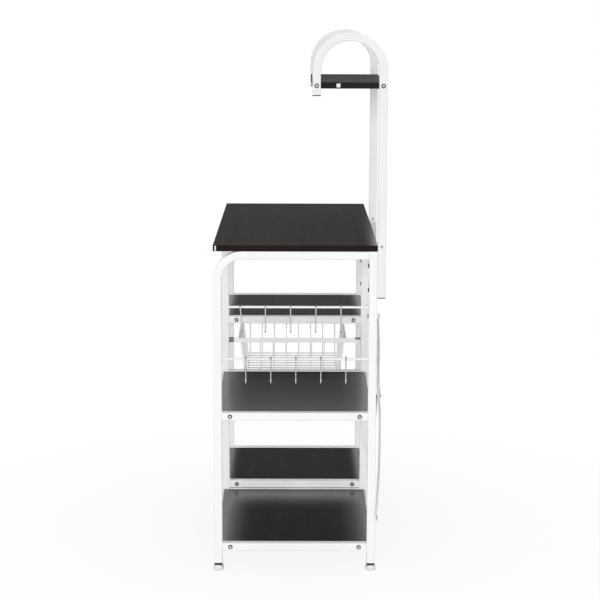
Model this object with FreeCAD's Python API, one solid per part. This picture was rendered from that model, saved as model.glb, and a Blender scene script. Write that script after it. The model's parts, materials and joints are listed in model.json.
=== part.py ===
"""Bakers rack: two columns of shelves, a pull-out wire basket, hook rods and a hutch shelf.

Millimetres. X runs along the width, with the wide column at +X. Y runs from the front (-Y)
to the back (+Y). Z is up. The origin is on the floor, at the middle of the rack's outline.
"""
import FreeCAD, Part
import math
import os

Vector = FreeCAD.Vector
X_AXIS = Vector(1, 0, 0)
Y_AXIS = Vector(0, 1, 0)
Z_AXIS = Vector(0, 0, 1)

# ---------------------------------------------------------------- driving dimensions

# Overall
rack_width = 900.0          # over the outer faces of the two end frames
frame_depth = 400.0         # front face of the front legs to back face of the rear legs
worktop_height = 821.0      # floor to the top of the tabletop
narrow_clear_width = 355.0  # clear width of the narrow column
hutch_height = 1332.0       # floor to the top of the cane bends

# Square tube
tube_side = 20.0
tube_wall = 1.2
tube_corner = 2.0           # outside corner radius
leg_bend_radius = 60.0      # centreline radius where a front leg turns into its top tube
cane_bend_radius = 80.0     # centreline radius of the hutch posts' hooked tops

# Boards
tabletop_thickness = 15.0
shelf_thickness = 15.0
board_edge_radius = 0.8
shelf_front_setback = 6.0   # shelf edge behind the front face of the legs
shelf_rear_setback = 8.5    # shelf edge ahead of the back face of the legs

# Heights of the rails' centres
wide_upper_height = 394.8
wide_lower_height = 61.5
narrow_upper_height = 546.0
narrow_lower_height = 83.3
upper_rod_height = 667.5
rod_spacing = 129.5         # between the two hook rods

# Shelf bolts
bolt_radius = 3.0
bolt_clearance = 0.2
bolt_head_radius = 5.5
bolt_head_height = 3.0
bolt_socket_flats = 4.0
bolt_socket_depth = 1.6
bolt_inset = 40.0           # from the frame's outer faces to the bolts, front and rear
bolt_grip_in_board = 30.0
bolt_grip_in_post = 12.0    # past the leg, where a post hides the end of the bolt
screw_radius = 2.0
screw_head_radius = 4.0
screw_head_height = 2.2
screw_grip_in_tabletop = 11.0
screw_inset = 92.0          # from the frame's faces to the tabletop screws

# Hutch
post_bottom_height = 693.0
hutch_shelf_drop = 119.0    # top of the cane bends to the top of the hutch shelf
stub_drop = 148.5           # top of the cane bends to the lower end of a cane's short arm
hutch_shelf_setback = 1.0   # from the outer faces of the posts
post_bolt_heights = (770.0, 710.0)
right_plug_height = 818.0
middle_plug_height = 825.0
side_plug_radius = 2.6
side_plug_depth = 6.0
side_plug_lip = 1.2         # how far the plug's head overlaps the post, and how far it stands out

# Hook rods and S-hooks
rod_radius = 3.0
hook_wire_radius = 1.6
hook_upper_inside_radius = 7.0
hook_lower_inside_radius = 8.0
hook_length = 70.0
hook_gap = 0.3              # between a hook and the rod it hangs on
hook_tail_angle = 205.0     # degrees round each curl to its open end
hook_spacing = 61.5
hook_count = 5
upper_hook_start = 66.0     # from the front face of the legs to the first hook
lower_hook_start = 79.0
first_hook_lean = 4.5       # degrees

# Basket and its runners
basket_wire_radius = 1.5
basket_rim_radius = 2.5
basket_rim_length = 300.0   # front to back, over the rim
basket_rim_corner = 12.0
basket_front_gap = 43.0     # from the front face of the legs to the rim
basket_depth = 101.5        # top of the rim to the underside of the wires
basket_pitch = 35.4
basket_cross_count = 8
basket_long_count = 9
basket_bend_radius = 8.0
basket_clearance = 1.0      # between the rim and each runner's upright flange
runner_height = 12.5
runner_top_height = 491.7
runner_thickness = 1.5
runner_ledge = 7.0
rim_gap = 0.3               # between the rim and the ledge it slides on
runner_end_gap = 3.0        # runner's ends behind the faces of the legs
clip_width = 8.0
clip_rise = 2.4             # clips stand above the top of the runner
clip_slot = 2.6
clip_web = 1.5
front_clip_length = 12.0
front_clip_height = 12.5
rear_clip_length = 14.0
rear_clip_height = 4.5

# Cross brace
brace_rod_radius = 3.0
brace_rod_gap = 0.1         # each rod behind the face of its eye
brace_upper_height = 646.0
brace_lower_height = 133.0
brace_meeting_plane = 18.0  # from the back of the legs to where the two rods meet
brace_tab_thickness = 2.5
brace_tab_radius = 7.0
brace_eye_thickness = 3.5
brace_eye_radius = 8.0
brace_pivot_radius = 2.0
brace_pivot_head_radius = 4.5
brace_pivot_head_height = 3.0
nut_flats = 10.0
nut_height = 4.0

# Feet and end plugs
foot_height = 14.5
foot_radius = 13.5
foot_sole_radius = 9.5
foot_neck_radius = 9.0
foot_shoulder = 1.2         # how much the dome has drawn in at its shoulder
foot_gap = 0.3              # between a foot and the plug above it
stud_radius = 3.0
stud_clearance = 0.3
stud_length = 28.0          # above the foot
leg_plug_flange = 5.2
plug_flange = 2.4
plug_insert = 12.0
plug_insert_corner = 1.0
plug_clearance = 0.2

# ---------------------------------------------------------------- places worked out from them

half_tube = tube_side / 2
tube_inside = tube_side - 2 * tube_wall
wide_clear_width = rack_width - 3 * tube_side - narrow_clear_width

right_x = rack_width / 2 - half_tube
left_x = -right_x
middle_x = left_x + narrow_clear_width + tube_side

brace_reach = brace_meeting_plane + brace_eye_thickness + brace_pivot_head_height
rear_reach = max(tube_side, brace_reach)
foot_overhang = foot_radius - half_tube
front_y = foot_overhang - (foot_overhang + frame_depth + rear_reach) / 2
back_y = front_y + frame_depth
front_leg_y = front_y + half_tube
rear_leg_y = back_y - half_tube
post_y = back_y + half_tube
stub_y = post_y - 2 * cane_bend_radius

tabletop_bottom = worktop_height - tabletop_thickness
top_tube_z = tabletop_bottom - half_tube
lower_rod_height = upper_rod_height - rod_spacing
plug_bottom = foot_height + foot_gap
leg_bottom = plug_bottom + leg_plug_flange
cane_centre_z = hutch_height - half_tube - cane_bend_radius

front_bolt_y = front_y + bolt_inset
rear_bolt_y = back_y - bolt_inset
hutch_shelf_z = hutch_height - hutch_shelf_drop - shelf_thickness / 2
stub_bottom_height = hutch_height - stub_drop
shelf_front_y = front_y + shelf_front_setback
shelf_back_y = back_y - shelf_rear_setback

runner_bottom_height = runner_top_height - runner_height
rim_z = runner_bottom_height + runner_thickness + rim_gap + basket_rim_radius
rim_front_y = front_y + basket_front_gap + basket_rim_radius
rim_back_y = rim_front_y + basket_rim_length - 2 * basket_rim_radius
rim_side_inset = runner_thickness + basket_clearance + basket_rim_radius
rim_left_x = left_x + half_tube + rim_side_inset
rim_right_x = middle_x - half_tube - rim_side_inset
basket_x = (rim_left_x + rim_right_x) / 2
basket_y = (rim_front_y + rim_back_y) / 2
basket_rim_top = rim_z + basket_rim_radius
long_wire_z = basket_rim_top - basket_depth + basket_wire_radius
cross_wire_z = long_wire_z + 2 * basket_wire_radius

side_plug_heights = {right_x: right_plug_height, middle_x: middle_plug_height}

# Rails: name, frame, height and the way their bolts point, from the head into the shelf
rails = {
    "right_upper_rail": (right_x, wide_upper_height, -1),
    "right_lower_rail": (right_x, wide_lower_height, -1),
    "middle_wide_upper_rail": (middle_x, wide_upper_height, 1),
    "middle_wide_lower_rail": (middle_x, wide_lower_height, 1),
    "middle_narrow_upper_rail": (middle_x, narrow_upper_height, -1),
    "middle_narrow_lower_rail": (middle_x, narrow_lower_height, -1),
    "left_upper_rail": (left_x, narrow_upper_height, 1),
    "left_lower_rail": (left_x, narrow_lower_height, 1),
}


# ---------------------------------------------------------------- helpers

def turned_from_z(direction):
    """Rotation that takes +Z to the given direction."""
    return FreeCAD.Rotation(Z_AXIS, direction)


def placed(shape, point, direction):
    """Copy of a shape drawn along +Z, set at a point and turned to a direction."""
    result = shape.copy()
    result.Placement = FreeCAD.Placement(point, turned_from_z(direction))
    return result


def rod(point, direction, length, radius):
    """Round bar or hole."""
    return Part.makeCylinder(radius, length, point, direction)


def rounded_square(side, corner):
    """Square outline with round corners, centred on the origin in the XY plane."""
    flat = side / 2 - corner
    edges = []
    for turn in range(4):
        spin = FreeCAD.Rotation(Z_AXIS, 90 * turn)
        diagonal = corner * math.sqrt(0.5)
        start = spin.multVec(Vector(flat + corner, flat, 0))
        middle = spin.multVec(Vector(flat + diagonal, flat + diagonal, 0))
        end = spin.multVec(Vector(flat, flat + corner, 0))
        following = spin.multVec(Vector(-flat, flat + corner, 0))
        edges.append(Part.Arc(start, middle, end).toShape())
        edges.append(Part.LineSegment(end, following).toShape())
    return Part.Wire(edges)


def tube_section():
    """Cross-section of the square tube."""
    outside = rounded_square(tube_side, tube_corner)
    inside_corner = max(tube_corner - tube_wall, 0.3)
    inside = rounded_square(tube_inside, inside_corner)
    return Part.Face(outside).cut(Part.Face(inside)).Faces[0]


def tube_run(start, end):
    """Straight length of square tube between two points on its centreline."""
    way = end - start
    section = placed(tube_section(), start, way)
    return section.extrude(way)


def tube_bend(start, heading, centre, axis, angle):
    """Square tube turned about an axis through centre, from start."""
    section = placed(tube_section(), start, heading)
    return section.revolve(centre, axis, angle)


def joined(first, others):
    """Pieces of one tube as one solid."""
    return first.fuse(others).removeSplitter()


def drilled(shape, point, direction, length, radius):
    """Shape with one round hole."""
    return shape.cut(rod(point, direction, length, radius))


def hexagon(flats, height):
    """Hexagonal prism on the XY plane."""
    corner = flats / (2 * math.cos(math.radians(30)))
    points = []
    for turn in range(7):
        angle = math.radians(60 * turn)
        points.append(Vector(corner * math.cos(angle), corner * math.sin(angle), 0))
    return Part.Face(Part.makePolygon(points)).extrude(Vector(0, 0, height))


def board(low, high):
    """Board with eased edges, between two corners."""
    size = high - low
    blank = Part.makeBox(size.x, size.y, size.z, low)
    return blank.makeFillet(board_edge_radius, blank.Edges)


def domed_head(radius, height):
    """Low domed head below the XY plane, under which a shank goes up."""
    rim = height * 0.3
    profile = Part.Wire([
        Part.LineSegment(Vector(0, 0, 0), Vector(0, 0, -height)).toShape(),
        Part.Arc(
            Vector(0, 0, -height),
            Vector(radius * 0.62, 0, -height * 0.86),
            Vector(radius, 0, -rim),
        ).toShape(),
        Part.LineSegment(Vector(radius, 0, -rim), Vector(radius, 0, 0)).toShape(),
        Part.LineSegment(Vector(radius, 0, 0), Vector(0, 0, 0)).toShape(),
    ])
    return Part.Face(profile).revolve(Vector(0, 0, 0), Z_AXIS, 360)


def bolt(length):
    """Button-head bolt with a hexagon socket, its shank going up from the XY plane."""
    head = domed_head(bolt_head_radius, bolt_head_height)
    shank = Part.makeCylinder(bolt_radius, length)
    socket = hexagon(bolt_socket_flats, bolt_socket_depth)
    socket.translate(Vector(0, 0, -bolt_head_height))
    return head.fuse(shank).removeSplitter().cut(socket)


def screw(length):
    """Small pan-head screw, its shank going up from the XY plane."""
    head = domed_head(screw_head_radius, screw_head_height)
    return head.fuse(Part.makeCylinder(screw_radius, length)).removeSplitter()


def wire_bend(start, heading, centre, axis, angle, radius):
    """Round wire turned about an axis through centre, from start."""
    disc = Part.Face(Part.Wire(Part.Circle(start, heading, radius).toShape()))
    return disc.revolve(centre, axis, angle)


def wire_run(start, end, radius):
    """Straight length of round wire."""
    way = end - start
    return rod(start, way, way.Length, radius)


def bent_wire(points, bend_radius, wire_radius, closed=False):
    """Round wire through points, bent to one radius at each corner."""
    count = len(points)
    corners = range(count) if closed else range(1, count - 1)
    pieces = []
    ends = {}
    for index in corners:
        point = points[index]
        back = (points[index - 1] - point).normalize()
        ahead = (points[(index + 1) % count] - point).normalize()
        half_angle = back.getAngle(ahead) / 2
        reach = bend_radius / math.tan(half_angle)
        bisector = (back + ahead).normalize()
        centre = point + bisector * (bend_radius / math.sin(half_angle))
        start = point + back * reach
        turn = 180 - 2 * math.degrees(half_angle)
        axis = ahead.cross(back)
        pieces.append(wire_bend(start, -back, centre, axis, turn, wire_radius))
        ends[index] = (start, point + ahead * reach)
    spans = range(count) if closed else range(count - 1)
    for index in spans:
        following = (index + 1) % count
        start = ends[index][1] if index in ends else points[index]
        end = ends[following][0] if following in ends else points[following]
        pieces.append(wire_run(start, end, wire_radius))
    return joined(pieces[0], pieces[1:])


# ---------------------------------------------------------------- side frames

def leg_bolt_holes(frame_x):
    """Heights at which a rear leg is drilled from front to back."""
    if frame_x == left_x:
        return ()
    return post_bolt_heights + (brace_upper_height, brace_lower_height)


def bent_front_leg(frame_x):
    """Front leg and top tube of one bent tube: its leg, bend and top, end to end."""
    bend_z = top_tube_z - leg_bend_radius
    bend_y = front_leg_y + leg_bend_radius
    foot = Vector(frame_x, front_leg_y, leg_bottom)
    knee = Vector(frame_x, front_leg_y, bend_z)
    brow = Vector(frame_x, bend_y, top_tube_z)
    end = Vector(frame_x, back_y - tube_side, top_tube_z)
    leg = tube_run(foot, knee)
    bend = tube_bend(knee, Z_AXIS, Vector(frame_x, bend_y, bend_z), X_AXIS, -90)
    top = tube_run(brow, end)
    for screw_y in (front_y + screw_inset, back_y - screw_inset):
        start = Vector(frame_x, screw_y, top_tube_z - tube_side)
        top = drilled(top, start, Z_AXIS, 2 * tube_side, screw_radius + bolt_clearance)
    return [leg, bend, top]


def rear_leg(frame_x):
    """Straight rear leg."""
    foot = Vector(frame_x, rear_leg_y, leg_bottom)
    leg = tube_run(foot, Vector(frame_x, rear_leg_y, tabletop_bottom))
    for height in leg_bolt_holes(frame_x):
        start = Vector(frame_x, rear_leg_y - tube_side, height)
        leg = drilled(leg, start, Y_AXIS, 2 * tube_side, bolt_radius + bolt_clearance)
    return leg


def rail(frame_x, height):
    """Rail between the legs of one frame, drilled for its two shelf bolts."""
    start = Vector(frame_x, front_y + tube_side, height)
    bar = tube_run(start, Vector(frame_x, back_y - tube_side, height))
    for bolt_y in (front_bolt_y, rear_bolt_y):
        hole = Vector(frame_x - tube_side, bolt_y, height)
        bar = drilled(bar, hole, X_AXIS, 2 * tube_side, bolt_radius + bolt_clearance)
    return bar


def hook_rod(height):
    """Round rod between the legs of the right frame."""
    start = Vector(right_x, front_y + tube_side, height)
    return rod(start, Y_AXIS, frame_depth - 2 * tube_side, rod_radius)


# ---------------------------------------------------------------- boards

def tabletop():
    """Work surface over the three frames, drilled from below for its screws."""
    low = Vector(-rack_width / 2, front_y, tabletop_bottom)
    high = Vector(rack_width / 2, back_y, worktop_height)
    top = board(low, high)
    for frame_x in (left_x, middle_x, right_x):
        for screw_y in (front_y + screw_inset, back_y - screw_inset):
            start = Vector(frame_x, screw_y, tabletop_bottom)
            top = drilled(top, start, Z_AXIS, screw_grip_in_tabletop + 1, screw_radius)
    return top


def shelf_between(start_x, end_x, low_y, high_y, height, bolt_ys):
    """Shelf board between two frames, drilled in both ends for its bolts."""
    low = Vector(start_x, low_y, height - shelf_thickness / 2)
    high = Vector(end_x, high_y, height + shelf_thickness / 2)
    shelf = board(low, high)
    depth = bolt_grip_in_board + 1
    for bolt_y in bolt_ys:
        shelf = drilled(shelf, Vector(start_x, bolt_y, height), X_AXIS, depth, bolt_radius)
        shelf = drilled(shelf, Vector(end_x, bolt_y, height), -X_AXIS, depth, bolt_radius)
    return shelf


def column_shelf(left_frame_x, right_frame_x, height):
    """Shelf that fills one column between two frames."""
    start_x = left_frame_x + half_tube
    end_x = right_frame_x - half_tube
    bolt_ys = (front_bolt_y, rear_bolt_y)
    return shelf_between(start_x, end_x, shelf_front_y, shelf_back_y, height, bolt_ys)


def hutch_shelf():
    """Small shelf between the two cane posts."""
    low_y = stub_y - half_tube + hutch_shelf_setback
    high_y = post_y + half_tube - hutch_shelf_setback
    start_x = middle_x + half_tube
    end_x = right_x - half_tube
    return shelf_between(start_x, end_x, low_y, high_y, hutch_shelf_z, (stub_y, post_y))


# ---------------------------------------------------------------- hutch posts

def cane_post(frame_x):
    """Post bolted behind a rear leg, its top bent over to the front like a cane."""
    bottom = Vector(frame_x, post_y, post_bottom_height)
    shoulder = Vector(frame_x, post_y, cane_centre_z)
    bend_centre = Vector(frame_x, post_y - cane_bend_radius, cane_centre_z)
    stub_top = Vector(frame_x, stub_y, cane_centre_z)
    stub_end = Vector(frame_x, stub_y, stub_bottom_height)
    bend = tube_bend(shoulder, Z_AXIS, bend_centre, X_AXIS, 180)
    post = joined(tube_run(bottom, shoulder), [bend, tube_run(stub_end, stub_top)])
    hole_radius = bolt_radius + bolt_clearance
    for height in post_bolt_heights:
        post = drilled(post, Vector(frame_x, back_y - 1, height), Y_AXIS, half_tube, hole_radius)
    for bolt_y in (stub_y, post_y):
        start = Vector(frame_x - tube_side, bolt_y, hutch_shelf_z)
        post = drilled(post, start, X_AXIS, 2 * tube_side, hole_radius)
    face = Vector(frame_x + half_tube, post_y, side_plug_heights[frame_x])
    return drilled(post, face, -X_AXIS, half_tube, side_plug_radius)


def side_plugs():
    """Small plugs in the posts' right faces, level with the tabletop."""
    plugs = []
    for frame_x, height in side_plug_heights.items():
        face = Vector(frame_x + half_tube, post_y, height)
        head = domed_head(side_plug_radius + side_plug_lip, side_plug_lip)
        plug = head.fuse(Part.makeCylinder(side_plug_radius, side_plug_depth))
        plugs.append(placed(plug.removeSplitter(), face, -X_AXIS))
    return plugs


def end_plug(point, direction):
    """Plug pushed into the open end of a tube, facing along direction."""
    flange = Part.Face(rounded_square(tube_side, tube_corner)).extrude(Vector(0, 0, plug_flange))
    insert_side = tube_inside - 2 * plug_clearance
    outline = rounded_square(insert_side, plug_insert_corner)
    insert = Part.Face(outline).extrude(Vector(0, 0, -plug_insert))
    return placed(flange.fuse(insert).removeSplitter(), point, direction)


def post_end_plugs():
    """Plugs in both ends of both cane posts."""
    plugs = []
    for frame_x in (middle_x, right_x):
        plugs.append(end_plug(Vector(frame_x, post_y, post_bottom_height), -Z_AXIS))
        plugs.append(end_plug(Vector(frame_x, stub_y, stub_bottom_height), -Z_AXIS))
    return plugs


# ---------------------------------------------------------------- fasteners

def shelf_bolts():
    """Bolts through the rails and posts into the ends of the shelves."""
    length = tube_side + bolt_grip_in_board
    pattern = bolt(length)
    bolts = []
    for frame_x, height, way in rails.values():
        for bolt_y in (front_bolt_y, rear_bolt_y):
            head = Vector(frame_x - way * half_tube, bolt_y, height)
            bolts.append(placed(pattern, head, X_AXIS * way))
    for frame_x, way in ((right_x, -1), (middle_x, 1)):
        for bolt_y in (stub_y, post_y):
            head = Vector(frame_x - way * half_tube, bolt_y, hutch_shelf_z)
            bolts.append(placed(pattern, head, X_AXIS * way))
    return bolts


def post_bolts():
    """Bolts from the front of the rear legs into the cane posts."""
    pattern = bolt(tube_side + bolt_grip_in_post)
    bolts = []
    for frame_x in (middle_x, right_x):
        for height in post_bolt_heights:
            head = Vector(frame_x, back_y - tube_side, height)
            bolts.append(placed(pattern, head, Y_AXIS))
    return bolts


def brace_bolts_and_nuts():
    """Bolts from the front of the rear legs through the brace's tabs, with their nuts."""
    pattern = bolt(tube_side + brace_tab_thickness + nut_height + 1)
    nut = hexagon(nut_flats, nut_height).cut(Part.makeCylinder(bolt_radius, nut_height))
    pieces = []
    for frame_x in (middle_x, right_x):
        for height in (brace_upper_height, brace_lower_height):
            head = Vector(frame_x, back_y - tube_side, height)
            pieces.append(placed(pattern, head, Y_AXIS))
            seat = Vector(frame_x, back_y + brace_tab_thickness, height)
            pieces.append(placed(nut, seat, Y_AXIS))
    return pieces


def tabletop_screws():
    """Screws up through the top tubes into the tabletop."""
    pattern = screw(tube_side + screw_grip_in_tabletop)
    screws = []
    for frame_x in (left_x, middle_x, right_x):
        for screw_y in (front_y + screw_inset, back_y - screw_inset):
            head = Vector(frame_x, screw_y, tabletop_bottom - tube_side)
            screws.append(placed(pattern, head, Z_AXIS))
    return screws


# ---------------------------------------------------------------- cross brace

def brace_rod(start_height, end_height, behind):
    """Bowed rod from the right rear leg down or up to the middle one, with flat ends and eye.

    behind is 1 for the rod that passes behind the meeting plane and -1 for the other.
    """
    start = Vector(right_x, back_y, start_height)
    end = Vector(middle_x, back_y, end_height)
    along = (end - start).normalize()
    middle = (start + end) / 2
    crossing_gap = brace_rod_radius + brace_rod_gap
    crossing = middle + Y_AXIS * (brace_meeting_plane + behind * crossing_gap)
    lift = Y_AXIS * brace_rod_radius
    first = start + lift + along * brace_tab_radius
    last = end + lift - along * brace_tab_radius
    arc = Part.Arc(first, crossing, last).toShape()
    bow = arc.Curve
    heading = arc.tangentAt(arc.FirstParameter)
    sweep = math.degrees(arc.LastParameter - arc.FirstParameter)
    bar = wire_bend(first, heading, bow.Center, bow.Axis, sweep, brace_rod_radius)
    side = along.cross(Y_AXIS)
    eye_seat = middle + Y_AXIS * brace_meeting_plane
    eye_way = Y_AXIS * behind
    flat_space = rod(eye_seat - eye_way * 3 * brace_rod_radius, eye_way,
                     6 * brace_rod_radius, brace_eye_radius - 1)
    eye = rod(eye_seat, eye_way, brace_eye_thickness, brace_eye_radius)
    pieces = [eye]
    for tip, inward in ((start, along), (end, -along)):
        pieces.append(flat_tab(tip, inward, side))
    result = bar.cut(flat_space).fuse(pieces).removeSplitter()
    result = drilled(result, eye_seat - Y_AXIS * tube_side, Y_AXIS, 2 * tube_side,
                     brace_pivot_radius + bolt_clearance)
    for tip in (start, end):
        result = drilled(result, tip - Y_AXIS, Y_AXIS, tube_side, bolt_radius + bolt_clearance)
    # the rod's round ends must not reach into the legs
    guard = Part.makeBox(2 * rack_width, tube_side, 2 * worktop_height,
                         Vector(-rack_width, back_y - tube_side, 0))
    return result.cut(guard)


def flat_tab(tip, inward, side):
    """Flattened rod end: a round tab that runs into the rod."""
    disc = rod(tip, Y_AXIS, brace_tab_thickness, brace_tab_radius)
    reach = 2 * brace_tab_radius
    near = tip + side * brace_tab_radius * 0.9
    far = tip - side * brace_tab_radius * 0.9
    far_end = tip + inward * reach - side * brace_rod_radius
    near_end = tip + inward * reach + side * brace_rod_radius
    outline = Part.makePolygon([near, far, far_end, near_end, near])
    neck = Part.Face(outline).extrude(Y_AXIS * brace_tab_thickness)
    return disc.fuse(neck)


def brace_pivot():
    """Rivet through both eyes where the rods cross."""
    middle_height = (brace_upper_height + brace_lower_height) / 2
    centre = Vector((right_x + middle_x) / 2, back_y + brace_meeting_plane, middle_height)
    grip = 2 * brace_eye_thickness
    shank = rod(centre - Y_AXIS * brace_eye_thickness, Y_AXIS, grip, brace_pivot_radius)
    head = domed_head(brace_pivot_head_radius, brace_pivot_head_height)
    back_head = placed(head, centre + Y_AXIS * brace_eye_thickness, -Y_AXIS)
    front_head = placed(head, centre - Y_AXIS * brace_eye_thickness, Y_AXIS)
    return shank.fuse([back_head, front_head]).removeSplitter()


# ---------------------------------------------------------------- S-hooks

def across_rod(angle):
    """Unit vector in the plane across the hook rods, its angle counted from +X towards +Z."""
    turn = math.radians(angle)
    return Vector(math.cos(turn), 0, math.sin(turn))


def s_hook(rod_height, hook_y, lean):
    """Hook hanging on a rod, bent from one wire in the plane across the rod."""
    upper_radius = hook_upper_inside_radius + hook_wire_radius
    lower_radius = hook_lower_inside_radius + hook_wire_radius
    top = rod_radius + hook_gap + hook_wire_radius
    upper_z = top - upper_radius
    lower_z = top + 2 * hook_wire_radius - hook_length + lower_radius
    slant = math.degrees(math.asin((upper_radius + lower_radius) / (upper_z - lower_z)))
    upper_centre = Vector(0, 0, upper_z)
    lower_centre = Vector(0, 0, lower_z)
    tail = upper_centre + across_rod(hook_tail_angle) * upper_radius
    shank_top = upper_centre + across_rod(-slant) * upper_radius
    shank_foot = lower_centre + across_rod(180 - slant) * lower_radius
    tail_heading = across_rod(hook_tail_angle - 90)
    shank_heading = shank_foot - shank_top
    curl = hook_tail_angle + slant
    upper = wire_bend(tail, tail_heading, upper_centre, Y_AXIS, curl, hook_wire_radius)
    shank = wire_run(shank_top, shank_foot, hook_wire_radius)
    lower = wire_bend(shank_foot, shank_heading, lower_centre, -Y_AXIS, curl, hook_wire_radius)
    hook = joined(shank, [upper, lower])
    hook.rotate(Vector(0, 0, 0), X_AXIS, lean)
    hook.translate(Vector(right_x, hook_y, rod_height))
    return hook


def hooks():
    """Every S-hook under its own name."""
    result = {}
    rows = (
        ("upper", upper_rod_height, upper_hook_start),
        ("lower", lower_rod_height, lower_hook_start),
    )
    for row, height, start in rows:
        for index in range(hook_count):
            lean = first_hook_lean if row == "upper" and index == 0 else 0.0
            name = f"{row}_hook_{index + 1}"
            hook_y = front_y + start + index * hook_spacing
            result[name] = s_hook(height, hook_y, lean)
    return result


# ---------------------------------------------------------------- basket and runners

def basket_rim():
    """Rim rod of the basket, a closed rounded rectangle."""
    corners = [
        Vector(rim_left_x, rim_front_y, rim_z),
        Vector(rim_right_x, rim_front_y, rim_z),
        Vector(rim_right_x, rim_back_y, rim_z),
        Vector(rim_left_x, rim_back_y, rim_z),
    ]
    return bent_wire(corners, basket_rim_corner, basket_rim_radius, closed=True)


def u_wire(centre, across, half_rim, last_crossing, floor_z):
    """Basket wire: down one wall, over the floor and up the other wall.

    Both tops touch the inner side of the rim. The floor runs one bend radius past the
    last wire that crosses it.
    """
    half_floor = last_crossing + basket_bend_radius
    run = half_rim - half_floor
    rise = rim_z - floor_z
    touch = basket_rim_radius + basket_wire_radius
    lean = math.atan2(run, rise) - math.asin(touch / math.hypot(run, rise))
    half_top = half_floor + math.tan(lean) * (basket_rim_top - floor_z)
    floor = Vector(centre.x, centre.y, floor_z)
    top = Vector(centre.x, centre.y, basket_rim_top)
    points = [
        top - across * half_top,
        floor - across * half_floor,
        floor + across * half_floor,
        top + across * half_top,
    ]
    return bent_wire(points, basket_bend_radius, basket_wire_radius)


def wire_offsets(count):
    """Places of the basket's wires either side of its middle."""
    return [(index - (count - 1) / 2) * basket_pitch for index in range(count)]


def basket_cross_wires():
    """Wires that run from wall to wall across the width, spaced front to back."""
    wires = []
    half_rim = (rim_right_x - rim_left_x) / 2
    last_crossing = wire_offsets(basket_long_count)[-1]
    for offset in wire_offsets(basket_cross_count):
        centre = Vector(basket_x, basket_y + offset, 0)
        wires.append(u_wire(centre, X_AXIS, half_rim, last_crossing, cross_wire_z))
    return wires


def basket_long_wires():
    """Wires that run from the front wall to the back wall, spaced over the width."""
    wires = []
    half_rim = (rim_back_y - rim_front_y) / 2
    last_crossing = wire_offsets(basket_cross_count)[-1]
    for offset in wire_offsets(basket_long_count):
        centre = Vector(basket_x + offset, basket_y, 0)
        wires.append(u_wire(centre, Y_AXIS, half_rim, last_crossing, long_wire_z))
    return wires


def runner(frame_x, inward):
    """Angle screwed flat against the legs of a frame, its ledge under the basket's rim."""
    face_x = frame_x + inward * half_tube
    length = frame_depth - 2 * runner_end_gap
    start_y = front_y + runner_end_gap
    low = runner_bottom_height
    upright_x = min(face_x, face_x + inward * runner_thickness)
    corner = Vector(upright_x, start_y, low)
    upright = Part.makeBox(runner_thickness, length, runner_height, corner)
    ledge_x = min(face_x, face_x + inward * runner_ledge)
    corner = Vector(ledge_x, start_y, low)
    ledge = Part.makeBox(runner_ledge, length, runner_thickness, corner)
    return upright.fuse(ledge).removeSplitter()


def runner_clips():
    """Black clips in the corners between the runners and the legs."""
    clips = []
    for frame_x, inward in ((left_x, 1), (middle_x, -1)):
        face_x = frame_x + inward * half_tube
        low_x = min(face_x, face_x - inward * clip_width)
        front_low = runner_top_height + clip_rise - front_clip_height
        corner = Vector(low_x, front_y + tube_side, front_low)
        clip = Part.makeBox(clip_width, front_clip_length, front_clip_height, corner)
        slot_low = front_low + (front_clip_height - clip_slot) / 2
        slot = Part.makeBox(clip_width, front_clip_length, clip_slot,
                            Vector(low_x, front_y + tube_side + clip_web, slot_low))
        clips.append(clip.cut(slot))
        rear_low = runner_top_height + clip_rise - rear_clip_height
        corner = Vector(low_x, back_y - tube_side - rear_clip_length, rear_low)
        clips.append(Part.makeBox(clip_width, rear_clip_length, rear_clip_height, corner))
    return clips


# ---------------------------------------------------------------- feet

def leg_places():
    """Centres of the six legs."""
    return {
        "right_front": (right_x, front_leg_y),
        "right_rear": (right_x, rear_leg_y),
        "middle_front": (middle_x, front_leg_y),
        "middle_rear": (middle_x, rear_leg_y),
        "left_front": (left_x, front_leg_y),
        "left_rear": (left_x, rear_leg_y),
    }


def leg_plugs():
    """Threaded plugs in the bottoms of the legs."""
    flange = Part.Face(rounded_square(tube_side, tube_corner))
    flange = flange.extrude(Vector(0, 0, leg_plug_flange))
    insert_side = tube_inside - 2 * plug_clearance
    insert = Part.Face(rounded_square(insert_side, plug_insert_corner))
    insert = insert.extrude(Vector(0, 0, leg_plug_flange + plug_insert))
    plug = flange.fuse(insert).removeSplitter()
    hole_length = leg_plug_flange + plug_insert
    plug = drilled(plug, Vector(0, 0, 0), Z_AXIS, hole_length, stud_radius + stud_clearance)
    plugs = []
    for place_x, place_y in leg_places().values():
        piece = plug.copy()
        piece.translate(Vector(place_x, place_y, plug_bottom))
        plugs.append(piece)
    return plugs


def levelling_foot(place_x, place_y):
    """Domed foot on a threaded stud that screws into the leg's plug."""
    waist = foot_height * 0.45
    profile = Part.Wire([
        Part.LineSegment(Vector(0, 0, 0), Vector(foot_sole_radius, 0, 0)).toShape(),
        Part.Arc(
            Vector(foot_sole_radius, 0, 0),
            Vector(foot_radius - 0.8, 0, waist * 0.5),
            Vector(foot_radius, 0, waist),
        ).toShape(),
        Part.Arc(
            Vector(foot_radius, 0, waist),
            Vector(foot_radius - foot_shoulder, 0, foot_height * 0.78),
            Vector(foot_neck_radius, 0, foot_height),
        ).toShape(),
        Part.LineSegment(
            Vector(foot_neck_radius, 0, foot_height), Vector(0, 0, foot_height)
        ).toShape(),
        Part.LineSegment(Vector(0, 0, foot_height), Vector(0, 0, 0)).toShape(),
    ])
    pad = Part.Face(profile).revolve(Vector(0, 0, 0), Z_AXIS, 360)
    stud = rod(Vector(0, 0, foot_height - 1), Z_AXIS, stud_length + 1, stud_radius)
    foot = pad.fuse(stud).removeSplitter()
    foot.translate(Vector(place_x, place_y, 0))
    return foot


# ---------------------------------------------------------------- the whole rack

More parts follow.
